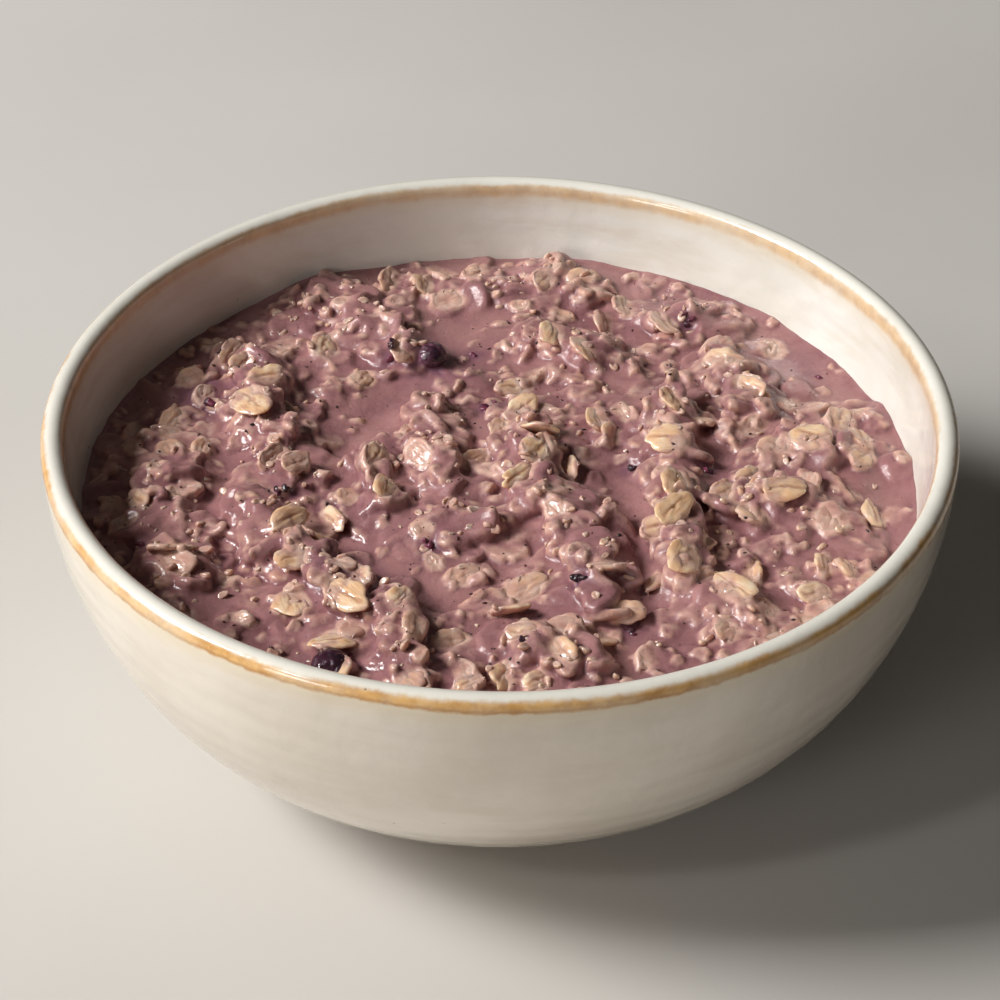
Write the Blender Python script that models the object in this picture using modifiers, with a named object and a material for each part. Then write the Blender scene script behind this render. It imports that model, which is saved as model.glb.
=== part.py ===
"""Bowl of berry porridge: a turned stoneware bowl, the porridge that fills it and whole berries on top.

Metres, +Z up. The origin is on the bowl's axis, on the plane that its foot stands on.
The front of the bowl faces -Y.
"""
import math

import bmesh
import bpy
from mathutils import Matrix, Vector, noise

MM = 0.001

# Bowl, from the outside
RIM_RADIUS = 80.0 * MM
BOWL_HEIGHT = 61.4 * MM
LIP_RADIUS = 2.0 * MM
FOOT_RADIUS = 38.0 * MM
FOOT_HEIGHT = 4.5 * MM
BELLY_REACH = 26.5 * MM  # how far the belly heads level out of the foot
WALL_REACH = 27.6 * MM  # how far the wall heads down from the lip
WALL_LEAN = 0.4 * MM  # how far that stretch of wall leans in
SEGMENTS = 64  # around the axis
WALL_STEPS = 9
LIP_STEPS = 6

# Bowl, from the inside
LIP_THICKNESS = 2 * LIP_RADIUS
BASE_THICKNESS = 6.0 * MM
FLOOR_RADIUS = 30.0 * MM

# Foot ring
FOOT_FACE_WIDTH = 3.0 * MM
FOOT_CHAMFER = 0.7 * MM
FOOT_TAPER = 0.4 * MM
RECESS_HEIGHT = 3.0 * MM

# Porridge
GAP = 0.3 * MM  # between solids that touch
FILL_LEVEL = 45.2 * MM
HEADROOM = 9.0 * MM  # from the level to the top of the form that trims the porridge
GRID_CELLS = 44
RIDGE_SHARPNESS = 4  # how sharply crossing ridges stay apart
LUMP_SPACING = 8.5 * MM
LUMP_HEIGHT = 1.5 * MM
SWELL_SPACING = 32.0 * MM
SWELL_HEIGHT = 1.2 * MM

# Ridges heaped up by stirring: start (x, y), end (x, y), half width and height, in millimetres
RIDGES = (
    (-62, 4, -54, -32, 8.0, 2.4),
    (-46, -8, -38, -20, 5.0, 3.2),
    (-38, -22, -22, -40, 5.0, 3.4),
    (-22, 10, -20, -12, 4.5, 2.2),
    (-14, 20, -8, -8, 4.5, 2.6),
    (4, 12, 6, -8, 5.0, 4.2),
    (31, 22, 32, 2, 4.5, 3.4),
    (31, -4, 31, -30, 5.0, 4.0),
    (13, -12, 17, -34, 7.0, 3.6),
    (-12, -14, 0, -16, 5.5, 2.2),
    (-42, 14, -38, -2, 5.0, 2.2),
    (-46, 36, -44, 16, 5.5, 2.8),
    (-34, 60, -22, 44, 8.0, 2.4),
    (-20, 40, -14, 38, 4.5, 3.2),
    (-4, 62, 14, 66, 8.0, 1.8),
    (10, 44, 20, 36, 5.0, 2.8),
    (30, 52, 37, 48, 6.0, 2.4),
    (42, 36, 48, 20, 5.5, 2.4),
    (50, 8, 64, 6, 6.0, 1.8),
    (40, -8, 54, -10, 5.5, 2.2),
    (-18, -36, -15, -52, 5.0, 2.8),
    (6, -48, 14, -52, 5.0, 2.8),
    (36, -32, 42, -40, 5.5, 2.2),
)

# Berries: name, centre (x, y), radius and how far the centre lies above the porridge, in millimetres
BERRIES = (
    ("berry_front", -27.6, -51.8, 3.9, -1.4),
    ("berry_back", -13.0, 36.8, 3.0, -1.5),
    ("berry_left", -55.4, 24.6, 3.8, -1.8),
    ("berry_middle", -25.8, -31.0, 3.0, -1.2),
)
BERRY_SEGMENTS = 16
BERRY_RINGS = 9
BERRY_SQUASH = 0.86
BERRY_WRINKLE = 0.07  # depth of the folds in the skin, as a share of the radius
BERRY_FOLD_SPACING = 0.9  # in radii


def make_material(name, colour, roughness):
    """A Principled material with one colour."""
    material = bpy.data.materials.new(name)
    material.use_nodes = True
    shader = material.node_tree.nodes["Principled BSDF"]
    shader.inputs["Base Color"].default_value = (*colour, 1.0)
    shader.inputs["Roughness"].default_value = roughness
    shader.inputs["Metallic"].default_value = 0.0
    return material


def add_object(name, mesh, collection, material=None):
    """Put a mesh in the scene as a named object, shaded smooth."""
    mesh.shade_smooth()
    item = bpy.data.objects.new(name, mesh)
    collection.objects.link(item)
    if material:
        mesh.materials.append(material)
    return item


def add_turned(name, profile, collection, material=None):
    """A solid of revolution: the profile of (radius, height) points, turned about Z by a Screw."""
    mesh = bpy.data.meshes.new(name)
    points = [(radius, 0.0, height) for radius, height in profile]
    mesh.from_pydata(points, [(i, i + 1) for i in range(len(points) - 1)], [])
    item = add_object(name, mesh, collection, material)
    screw = item.modifiers.new("Turn", "SCREW")
    screw.steps = SEGMENTS
    screw.render_steps = SEGMENTS
    screw.use_merge_vertices = True
    screw.merge_threshold = 0.00001
    screw.use_smooth_shade = True
    return item


def cut(item, cutter, operation):
    """Add an exact Boolean to an object."""
    boolean = item.modifiers.new(cutter.name, "BOOLEAN")
    boolean.operation = operation
    boolean.solver = "EXACT"
    boolean.object = cutter


def wall_point(t, depth=0.0):
    """A point (radius, height) of the wall, t from 0 at the foot to 1 under the lip, set in by a depth."""
    foot = Vector((FOOT_RADIUS, FOOT_HEIGHT))
    lip = Vector((RIM_RADIUS, BOWL_HEIGHT - LIP_RADIUS))
    belly = foot + Vector((BELLY_REACH, 0.0))
    wall = lip - Vector((WALL_LEAN, WALL_REACH))
    s = 1.0 - t
    point = s**3 * foot + 3 * s * s * t * belly + 3 * s * t * t * wall + t**3 * lip
    along = (s * s * (belly - foot) + 2 * s * t * (wall - belly) + t * t * (lip - wall)).normalized()
    return point + depth * Vector((-along.y, along.x))


def thickness(t):
    """Thickness of the wall, from the base to the lip."""
    return BASE_THICKNESS + (LIP_THICKNESS - BASE_THICKNESS) * t


def inner_wall(clearance=0.0):
    """Points of the inside from the floor up to the lip, kept clear of it by the clearance."""
    steps = [i / WALL_STEPS for i in range(WALL_STEPS + 1)]
    return [wall_point(t, thickness(t) + clearance) for t in steps]


def bowl_profile():
    """The whole section of the bowl: floor, inside, lip, outside, foot ring and recess."""
    inside = inner_wall()
    floor_height = inside[0].y
    profile = [(0.0, floor_height), (FLOOR_RADIUS, floor_height)]
    profile += [tuple(point) for point in inside[1:]]
    lip_centre = Vector((RIM_RADIUS - LIP_RADIUS, BOWL_HEIGHT - LIP_RADIUS))
    for i in range(1, LIP_STEPS):
        angle = math.pi * (1.0 - i / LIP_STEPS)
        profile.append(tuple(lip_centre + LIP_RADIUS * Vector((math.cos(angle), math.sin(angle)))))
    profile += [tuple(wall_point(1.0 - i / WALL_STEPS)) for i in range(WALL_STEPS + 1)]
    face_outer = FOOT_RADIUS - FOOT_TAPER - FOOT_CHAMFER
    face_inner = face_outer - FOOT_FACE_WIDTH
    profile += [
        (FOOT_RADIUS - FOOT_TAPER, FOOT_CHAMFER),
        (face_outer, 0.0),
        (face_inner, 0.0),
        (face_inner - FOOT_CHAMFER, FOOT_CHAMFER),
        (face_inner - FOOT_CHAMFER - FOOT_TAPER, RECESS_HEIGHT),
        (0.0, RECESS_HEIGHT),
    ]
    return profile


def filling_profile():
    """The room inside the bowl, a gap clear of the wall, from over the porridge down to the floor."""
    top = FILL_LEVEL + HEADROOM
    wall = [point for point in inner_wall(GAP) if point.y < top - LIP_RADIUS]
    floor_height = wall[0].y
    radius_at_top = wall[-1].x + (RIM_RADIUS - LIP_THICKNESS - GAP - wall[-1].x) / 2
    profile = [(0.0, top), (radius_at_top, top)]
    profile += [tuple(point) for point in reversed(wall[1:])]
    return profile + [(FLOOR_RADIUS, floor_height), (0.0, floor_height)]


def ridge_height(x, y, ridge):
    """Height of one ridge at a place, falling off as a bell from the line between its ends."""
    x0, y0, x1, y1, half_width, height = (value * MM for value in ridge)
    start = Vector((x0, y0))
    run = Vector((x1, y1)) - start
    place = Vector((x, y)) - start
    share = min(max(place.dot(run) / run.length_squared, 0.0), 1.0)
    distance = (place - share * run).length
    return height * math.exp(-((distance / half_width) ** 2))


def surface_height(x, y):
    """Height of the top of the porridge: the level, the stirred ridges, a slow swell and lumps of oats."""
    ridges = sum(ridge_height(x, y, ridge) ** RIDGE_SHARPNESS for ridge in RIDGES)
    swell = SWELL_HEIGHT * noise.noise(Vector((x, y, 0.0)) / SWELL_SPACING)
    lumps = LUMP_HEIGHT * noise.noise(Vector((x, y, SWELL_SPACING)) / LUMP_SPACING)
    return FILL_LEVEL + ridges ** (1 / RIDGE_SHARPNESS) + swell + lumps


def add_lumpy_block(collection, material):
    """A block wider than the bowl, with the relief of the porridge as its top."""
    form = bmesh.new()
    bmesh.ops.create_grid(form, x_segments=GRID_CELLS, y_segments=GRID_CELLS, size=RIM_RADIUS)
    for vert in form.verts:
        vert.co.z = surface_height(vert.co.x, vert.co.y)
    border = [edge for edge in form.edges if edge.is_boundary]
    sides = bmesh.ops.extrude_edge_only(form, edges=border)["geom"]
    for vert in (item for item in sides if isinstance(item, bmesh.types.BMVert)):
        vert.co.z = 0.0
    bmesh.ops.holes_fill(form, edges=[edge for edge in form.edges if edge.is_boundary], sides=0)
    bmesh.ops.recalc_face_normals(form, faces=form.faces)
    mesh = bpy.data.meshes.new("porridge")
    form.to_mesh(mesh)
    form.free()
    return add_object("porridge", mesh, collection, material)


def add_berry(name, radius, centre, clearance, collection, material=None):
    """A squashed ball with folds in its skin, grown by the clearance when it is a cutter."""
    form = bmesh.new()
    bmesh.ops.create_uvsphere(form, u_segments=BERRY_SEGMENTS, v_segments=BERRY_RINGS, radius=1.0)
    seed = centre / radius
    for vert in form.verts:
        fold = BERRY_WRINKLE * noise.noise(vert.co / BERRY_FOLD_SPACING + seed)
        vert.co *= radius * (1.0 + fold) + clearance
    bmesh.ops.transform(form, matrix=Matrix.Diagonal((1.0, 1.0, BERRY_SQUASH, 1.0)), verts=form.verts)
    mesh = bpy.data.meshes.new(name)
    form.to_mesh(mesh)
    form.free()
    berry = add_object(name, mesh, collection, material)
    berry.location = centre
    return berry


def add_collection(name):
    """A new collection in the scene."""
    collection = bpy.data.collections.new(name)
    bpy.context.scene.collection.children.link(collection)
    return collection


def main():
    """Build the bowl, the porridge and the berries."""
    for item in list(bpy.data.objects):
        bpy.data.objects.remove(item, do_unlink=True)
    parts = add_collection("bowl_of_porridge")
    cutters = add_collection("cutters")

    glaze = make_material("cream_glaze", (0.72, 0.66, 0.56), 0.25)
    oats = make_material("berry_oats", (0.38, 0.22, 0.20), 0.35)
    skin = make_material("berry_skin", (0.03, 0.02, 0.045), 0.3)

    add_turned("bowl", bowl_profile(), parts, glaze)
    porridge = add_lumpy_block(parts, oats)
    cut(porridge, add_turned("filling_form", filling_profile(), cutters), "INTERSECT")
    for name, x, y, radius, rise in BERRIES:
        centre = Vector((x * MM, y * MM, surface_height(x * MM, y * MM) + rise * MM))
        add_berry(name, radius * MM, centre, 0.0, parts, skin)
        socket = add_berry(name + "_socket", radius * MM, centre, GAP / BERRY_SQUASH, cutters)
        cut(porridge, socket, "DIFFERENCE")
    for cutter in cutters.objects:
        cutter.display_type = "WIRE"
        cutter.hide_render = True


main()
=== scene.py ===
"""Looks of the bowl of berry porridge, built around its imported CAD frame. Metres, +Z up, front at -Y."""
import math

import bmesh
import bpy
import numpy as np
from mathutils import Matrix, Vector


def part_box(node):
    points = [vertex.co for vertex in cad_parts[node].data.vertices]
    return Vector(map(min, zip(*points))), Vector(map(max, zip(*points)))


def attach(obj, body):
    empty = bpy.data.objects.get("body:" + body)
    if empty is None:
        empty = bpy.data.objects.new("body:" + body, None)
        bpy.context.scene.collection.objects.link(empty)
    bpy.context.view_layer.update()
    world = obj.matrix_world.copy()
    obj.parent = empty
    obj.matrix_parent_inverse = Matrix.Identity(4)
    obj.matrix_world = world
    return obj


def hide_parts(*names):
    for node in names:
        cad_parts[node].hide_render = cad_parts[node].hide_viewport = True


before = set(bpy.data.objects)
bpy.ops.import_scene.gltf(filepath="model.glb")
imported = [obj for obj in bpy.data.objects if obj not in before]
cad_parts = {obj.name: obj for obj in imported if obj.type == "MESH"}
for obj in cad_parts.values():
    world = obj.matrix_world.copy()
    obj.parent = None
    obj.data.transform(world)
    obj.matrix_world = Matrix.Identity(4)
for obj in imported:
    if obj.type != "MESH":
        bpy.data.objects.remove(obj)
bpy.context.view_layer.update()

MM = 0.001

# ---------------------------------------------------------------- sizes, in millimetres

bowl_low, bowl_high = (np.array(corner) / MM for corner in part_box("bowl"))
RIM_RADIUS = float(bowl_high[0])
BOWL_HEIGHT = float(bowl_high[2])
LIP_RADIUS = 2.0
FOOT_RADIUS = 38.0
FOOT_HEIGHT = 4.5
BELLY_REACH = 26.5
WALL_REACH = 27.6
WALL_LEAN = 0.4
BASE_THICKNESS = 6.0
FOOT_FACE = 3.0
FOOT_CHAMFER = 0.7
RECESS_HEIGHT = 3.0

FILL_LEVEL = 45.2
FIELD_REACH = 75.6  # half width of the volume that the porridge is worked out in
FIELD_LOW = 40.0
FIELD_HIGH = 53.5
VOXEL = 0.46
WALL_BITE = 0.9  # how far the porridge reaches into the wall of the bowl
SURFACE_TRIANGLES = 183000
SKIRT_STEPS = 5  # rings of faces down the side of the porridge, under its top

# Ridges heaped up by stirring: start (x, y), end (x, y), half width, height, flakes along it
RIDGES = (
    (-62, 4, -54, -32, 8.0, 2.4, 26),
    (-46, -8, -38, -20, 5.0, 3.2, 10),
    (-38, -22, -22, -40, 5.0, 3.4, 14),
    (-22, 10, -20, -12, 4.5, 2.2, 9),
    (-14, 20, -8, -8, 4.5, 2.6, 12),
    (4, 12, 6, -8, 5.0, 4.2, 12),
    (31, 22, 32, 2, 4.5, 3.4, 11),
    (31, -4, 31, -30, 5.0, 4.0, 16),
    (13, -12, 17, -34, 7.0, 3.6, 21),
    (-12, -14, 0, -16, 5.5, 2.2, 9),
    (-42, 14, -38, -2, 5.0, 2.2, 9),
    (-46, 36, -44, 16, 5.5, 2.8, 12),
    (-34, 60, -22, 44, 8.0, 2.4, 16),
    (-20, 40, -14, 38, 4.5, 3.2, 6),
    (-4, 62, 14, 66, 8.0, 1.8, 14),
    (10, 44, 20, 36, 5.0, 2.8, 11),
    (30, 52, 37, 48, 6.0, 2.4, 9),
    (42, 36, 48, 20, 5.5, 2.4, 11),
    (50, 8, 64, 6, 6.0, 1.8, 9),
    (40, -8, 54, -10, 5.5, 2.2, 10),
    (-18, -36, -15, -52, 5.0, 2.8, 11),
    (6, -48, 14, -52, 5.0, 2.8, 10),
    (36, -32, 42, -40, 5.5, 2.2, 9),
)

# Smooth channels of milk left by the spoon: start (x, y), end (x, y), half width
CHANNELS = (
    (-5, 54, -17, 31, 6.5),
    (-17, 31, -28, 8, 5.0),
    (-27, -18, -11, -34, 5.0),
    (20, 4, 23, -9, 4.5),
    (40, 6, 38, -3, 4.0),
    (50, 46, 66, 26, 5.0),
    (69, 0, 67, -24, 3.0),
    (-1, -22, 2, -24, 4.5),
    (24, -38, 24, -16, 2.5),
    (-48, 8, -50, -10, 3.0),
)

# Clear oat flakes that stand out: x, y, length, width, heading and roll in degrees, share that is bare
FLAKES = (
    (-45.5, 17.0, 9.2, 7.4, -55, 10, 1.0),
    (-43.5, 25.5, 7.4, 5.2, 32, 24, 0.9),
    (-48.5, 31.0, 6.8, 4.8, 70, 30, 0.6),
    (-51.0, 38.0, 8.0, 4.2, 66, 38, 0.7),
    (-35.2, -36.5, 7.4, 6.4, 100, 5, 1.0),
    (-25.5, -38.5, 9.4, 6.2, -52, 20, 0.9),
    (-35.5, -28.0, 6.6, 5.4, 40, 14, 0.8),
    (-36.5, -17.5, 9.0, 5.2, 52, 34, 0.8),
    (-32.0, -19.0, 8.2, 5.0, -42, -48, 0.7),
    (-29.5, -13.0, 7.6, 4.4, -62, 44, 0.7),
    (-20.2, -7.5, 8.2, 4.6, 82, 38, 0.9),
    (-27.0, -6.5, 6.2, 4.4, 100, 20, 0.6),
    (-22.5, 2.5, 7.4, 5.0, 74, 36, 0.6),
    (-14.5, 4.0, 8.4, 4.8, -58, 40, 0.5),
    (-4.8, 4.0, 7.2, 4.6, 44, 32, 0.5),
    (4.2, 20.0, 7.6, 5.0, 50, 18, 0.9),
    (17.6, 17.0, 7.8, 4.6, 94, 28, 0.9),
    (20.0, 12.5, 6.4, 4.2, 80, 46, 0.6),
    (31.2, 18.0, 7.4, 4.6, 100, 34, 0.8),
    (30.2, 6.5, 7.6, 7.0, 4, 18, 1.0),
    (7.0, 8.0, 7.8, 5.6, -10, -52, 0.9),
    (6.8, 2.5, 9.2, 6.0, 60, 26, 0.9),
    (3.2, -4.5, 8.0, 4.4, 48, 30, 1.0),
    (12.4, 1.5, 7.0, 4.4, 86, -46, 0.6),
    (56.2, 8.0, 8.2, 7.4, -28, 8, 1.0),
    (49.2, 6.0, 7.4, 6.0, 52, 14, 0.5),
    (62.5, 17.0, 6.6, 6.0, 80, 22, 0.6),
    (65.6, 10.0, 6.8, 4.6, 104, 34, 0.6),
    (65.0, 4.5, 6.0, 4.8, 60, 26, 0.7),
    (44.8, 0.0, 6.0, 3.8, 24, 30, 0.8),
    (30.6, -9.5, 7.6, 5.6, 84, 30, 0.9),
    (30.0, -17.0, 9.2, 5.4, 54, 24, 1.0),
    (27.0, -20.0, 6.6, 4.6, 20, 34, 0.7),
    (39.6, -8.6, 7.6, 5.4, 46, 18, 0.8),
    (50.0, -9.0, 8.8, 5.2, 16, 20, 0.9),
    (43.6, -13.5, 6.4, 5.2, 120, 16, 0.7),
    (31.2, -28.5, 9.4, 6.2, 72, 22, 1.0),
    (39.6, -35.0, 9.2, 5.6, -48, 14, 0.9),
    (53.0, -34.0, 6.8, 4.4, 34, 24, 0.8),
    (4.2, -32.0, 9.2, 5.6, 32, 14, 0.7),
    (1.8, -38.5, 7.6, 4.8, 2, -46, 0.7),
    (-6.0, -27.5, 6.6, 5.4, 30, 12, 0.5),
    (-27.4, -46.8, 8.6, 5.6, 12, -16, 1.0),
    (-16.6, -39.0, 6.0, 4.8, 60, 20, 0.9),
    (-56.0, -25.5, 8.6, 5.0, 6, -40, 0.5),
    (-55.0, -28.5, 8.0, 5.4, -32, 20, 0.4),
    (-63.5, -10.0, 6.8, 4.0, -60, 40, 0.6),
    (58.2, -14.0, 7.2, 6.4, 70, 12, 0.4),
    (55.4, -26.0, 6.0, 4.0, 84, 34, 0.9),
    (59.2, -27.0, 5.6, 3.8, 100, 36, 0.8),
    (65.6, -10.5, 7.4, 4.4, 96, 34, 0.9),
    (9.8, 41.0, 8.0, 5.0, 80, 26, 0.9),
    (15.4, 35.5, 7.0, 4.8, 110, 30, 0.8),
    (31.4, 47.0, 8.6, 5.6, 118, 24, 0.6),
    (42.2, 34.0, 8.0, 5.0, -22, 20, 0.8),
    (46.6, 25.0, 7.6, 4.8, -58, 32, 0.7),
    (24.0, 55.0, 6.8, 4.8, 100, 28, 0.7),
    (19.8, 50.5, 7.6, 4.4, 92, 46, 0.5),
    (-10.0, 58.0, 7.6, 6.4, 20, 14, 0.6),
    (-33.6, 41.0, 7.2, 5.8, 82, 24, 0.7),
    (8.6, 62.5, 6.2, 4.8, 70, 22, 0.7),
    (16.0, 64.0, 6.6, 5.0, 30, 18, 0.6),
    (-15.4, 63.5, 6.8, 4.8, 96, 30, 0.7),
    (-22.0, 64.5, 8.0, 4.6, 84, 40, 0.5),
    (-4.6, 67.0, 6.4, 4.8, 40, 20, 0.5),
    (21.2, -39.5, 7.0, 4.8, 10, 18, 0.6),
    (0.4, -55.0, 6.8, 4.6, 78, 26, 0.8),
    (6.0, -56.5, 5.4, 4.2, 40, 24, 0.8),
    (10.2, -51.5, 7.2, 4.2, -58, 26, 0.8),
    (38.0, -43.5, 6.8, 5.4, 60, 16, 0.4),
    (2.6, 28.5, 7.4, 4.6, 20, 20, 0.7),
    (-26.0, 31.5, 6.2, 4.4, 70, 20, 0.6),
    (-18.4, 36.5, 7.0, 5.6, 80, 30, 0.5),
    (0.2, 12.5, 5.6, 4.8, 70, 18, 0.5),
    (-41.0, 2.5, 7.0, 4.4, 60, 40, 0.4),
    (-36.6, 0.0, 6.6, 4.6, 40, 30, 0.4),
    (-8.0, -46.0, 6.8, 5.6, 30, 26, 0.4),
    (-14.4, -46.5, 6.6, 4.4, 84, 34, 0.6),
    (24.6, -49.5, 6.6, 4.4, 70, 26, 0.4),
    (46.0, 15.0, 7.2, 4.4, 42, 26, 0.5),
    (52.0, 42.5, 6.8, 5.6, 80, 12, 0.4),
    (-60.2, 17.0, 6.8, 4.8, 70, 26, 0.5),
    (-58.0, 30.5, 6.4, 4.4, 40, 30, 0.5),
    (-54.0, 8.0, 5.8, 3.8, 78, 24, 0.6),
    (-67.0, 13.5, 6.4, 4.4, 84, 34, 0.5),
)
FLAKE_THICKNESS = 1.2
STRAY_FLAKES = 120
COATED_FLAKES = 600
SUNK_CRUMBS = 900
CRUMBS_PER_FLAKE = 1.4
STRAY_CRUMBS = 320
# Shards of berry skin: x, y and size
SKIN_BITS = (
    (-2.6, 22.0, 2.6),
    (-0.6, 23.6, 1.8),
    (-39.6, -6.2, 2.4),
    (-37.4, -6.0, 1.6),
    (4.2, -49.0, 2.6),
    (-12.4, -21.0, 2.2),
    (13.8, -33.0, 2.2),
    (22.0, -42.0, 2.4),
    (-54.5, 22.0, 2.8),
    (-20.5, 36.0, 2.4),
    (37.5, 2.6, 2.0),
    (-5.0, 39.6, 2.0),
    (23.5, 4.0, 2.0),
    (-30.0, -9.0, 1.8),
    (-62.0, -22.0, 2.2),
    (35.5, 48.0, 2.2),
    (60.0, 34.0, 1.8),
    (-25.0, -49.5, 2.4),
)
SPECKS = 1600
BERRIES = {  # how far each is smeared with berry milk
    "berry_front": 0.0,
    "berry_back": 0.6,
    "berry_left": 1.0,
    "berry_middle": 0.1,
}


# ---------------------------------------------------------------- meshes

def mesh_object(name, points, faces):
    """A smooth mesh object from points in millimetres, riding on the root."""
    mesh = bpy.data.meshes.new(name)
    mesh.from_pydata((np.asarray(points, dtype=float) * MM).tolist(), [], faces)
    mesh.update()
    mesh.shade_smooth()
    item = bpy.data.objects.new(name, mesh)
    bpy.context.scene.collection.objects.link(item)
    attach(item, "root")
    return item


def store(item, name, values):
    """Keep a number or a vector for each point of a mesh, for its material to read."""
    values = np.asarray(values, dtype=np.float32)
    kind = "FLOAT_VECTOR" if values.ndim == 2 else "FLOAT"
    attribute = item.data.attributes.new(name, kind, "POINT")
    attribute.data.foreach_set("vector" if values.ndim == 2 else "value", values.ravel())


def mesh_points(item):
    """The points of a mesh in millimetres."""
    flat = np.empty(len(item.data.vertices) * 3, dtype=np.float32)
    item.data.vertices.foreach_get("co", flat)
    return flat.reshape(-1, 3).astype(float) / MM


def smoothstep(low, high, value):
    """0 below low, 1 above high and a smooth rise between."""
    t = np.clip((value - low) / (high - low), 0.0, 1.0)
    return t * t * (3.0 - 2.0 * t)


def node_box(node):
    """Middle and half size of a CAD node, in millimetres."""
    low, high = (np.array(corner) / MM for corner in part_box(node))
    return (low + high) / 2, (high - low) / 2


def value_noise(points, spacing, seed):
    """Smooth noise from -1 to 1 at points of 2 or 3 numbers, with features about a spacing apart."""
    scaled = np.asarray(points, dtype=float) / spacing + 1000.0
    cell = np.floor(scaled).astype(np.int64)
    part = scaled - cell
    part = part * part * (3.0 - 2.0 * part)
    axes = scaled.shape[-1]
    total = np.zeros(scaled.shape[:-1])
    for corner in range(2 ** axes):
        weight = np.ones(scaled.shape[:-1])
        key = np.full(scaled.shape[:-1], seed * 974711, dtype=np.int64)
        for axis in range(axes):
            step = (corner >> axis) & 1
            weight *= part[..., axis] if step else 1.0 - part[..., axis]
            key = key * 73856093 + (cell[..., axis] + step) * 19349663
        key = (key ^ (key >> 13)) * 1274126177
        key = key ^ (key >> 16)
        total += weight * ((key & 0xFFFF) / 32767.5 - 1.0)
    return total


def unit_ball(subdivisions):
    """Points and faces of an icosphere of radius 1."""
    form = bmesh.new()
    bmesh.ops.create_icosphere(form, subdivisions=subdivisions, radius=1.0)
    points = np.array([vert.co[:] for vert in form.verts])
    faces = [tuple(vert.index for vert in face.verts) for face in form.faces]
    form.free()
    return points, faces


# ---------------------------------------------------------------- bowl

def wall_point(t, depth=0.0):
    """A point (radius, height) of the wall, t from 0 at the foot to 1 under the lip, set in by a depth."""
    foot = np.array((FOOT_RADIUS, FOOT_HEIGHT))
    lip = np.array((RIM_RADIUS, BOWL_HEIGHT - LIP_RADIUS))
    belly = foot + (BELLY_REACH, 0.0)
    wall = lip - (WALL_LEAN, WALL_REACH)
    s = 1.0 - t
    point = s**3 * foot + 3 * s * s * t * belly + 3 * s * t * t * wall + t**3 * lip
    along = s * s * (belly - foot) + 2 * s * t * (wall - belly) + t * t * (lip - wall)
    along /= np.linalg.norm(along)
    return point + depth * np.array((-along[1], along[0]))


def wall_thickness(t):
    """Thickness of the wall, from the base to the lip."""
    return BASE_THICKNESS + (2 * LIP_RADIUS - BASE_THICKNESS) * t


INSIDE = np.array([wall_point(t, wall_thickness(t)) for t in np.linspace(0.0, 1.0, 60)])


def inner_radius(height):
    """Radius of the inside of the bowl at a height."""
    return np.interp(height, INSIDE[:, 1], INSIDE[:, 0])


FILL_RADIUS = float(inner_radius(FILL_LEVEL))


def bowl_section():
    """The section of the bowl as points (radius, height), from the floor over the lip to the underside."""
    steps = np.linspace(0.0, 1.0, 64) ** 0.8
    floor_height = INSIDE[0, 1]
    section = [(r, floor_height) for r in np.linspace(0.0, FOOT_RADIUS - 3.0, 8)]
    section += [wall_point(t, wall_thickness(t)) for t in steps[2:]]
    centre = np.array((RIM_RADIUS - LIP_RADIUS, BOWL_HEIGHT - LIP_RADIUS))
    for angle in np.linspace(math.pi, 0.0, 15)[1:-1]:
        section.append(centre + LIP_RADIUS * np.array((math.cos(angle), math.sin(angle))))
    section += [wall_point(t) for t in steps[::-1]]
    face_outer = FOOT_RADIUS - 1.1
    face_inner = face_outer - FOOT_FACE
    section += [
        (FOOT_RADIUS - 0.1, FOOT_HEIGHT - 0.7),
        (FOOT_RADIUS - 0.25, 2.0),
        (FOOT_RADIUS - 0.45, FOOT_CHAMFER),
        (face_outer + 0.25, 0.12),
        (face_outer - 0.2, 0.0),
        (face_inner + 0.2, 0.0),
        (face_inner - 0.25, 0.12),
        (face_inner - 0.65, FOOT_CHAMFER),
        (face_inner - 0.9, 2.0),
        (face_inner - 1.6, RECESS_HEIGHT - 0.2),
        (face_inner - 2.6, RECESS_HEIGHT),
    ]
    section += [(r, RECESS_HEIGHT) for r in np.linspace(face_inner - 6.0, 0.0, 6)]
    return np.array(section)


def ring_face(first, second, j, k):
    """A four-sided face from place j to place k of two rings, given where the points of each ring start."""
    return first + j, second + j, second + k, first + k


def turned_mesh(section, segments):
    """Points and faces of a section turned about Z. Its first and last points lie on the axis."""
    angles = np.linspace(0.0, 2 * math.pi, segments, endpoint=False)
    ring = section[1:-1]
    points = np.empty((len(ring), segments, 3))
    points[..., 0] = ring[:, :1] * np.cos(angles)
    points[..., 1] = ring[:, :1] * np.sin(angles)
    points[..., 2] = ring[:, 1:]
    flat = points.reshape(-1, 3)
    first = len(flat)
    flat = np.vstack((flat, (0.0, 0.0, section[0, 1]), (0.0, 0.0, section[-1, 1])))
    faces = []
    for j in range(segments):
        k = (j + 1) % segments
        for i in range(len(ring) - 1):
            faces.append(ring_face(i * segments, (i + 1) * segments, j, k))
        last = (len(ring) - 1) * segments
        faces.append((first, j, k))
        faces.append((first + 1, last + k, last + j))
    return flat, faces


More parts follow.
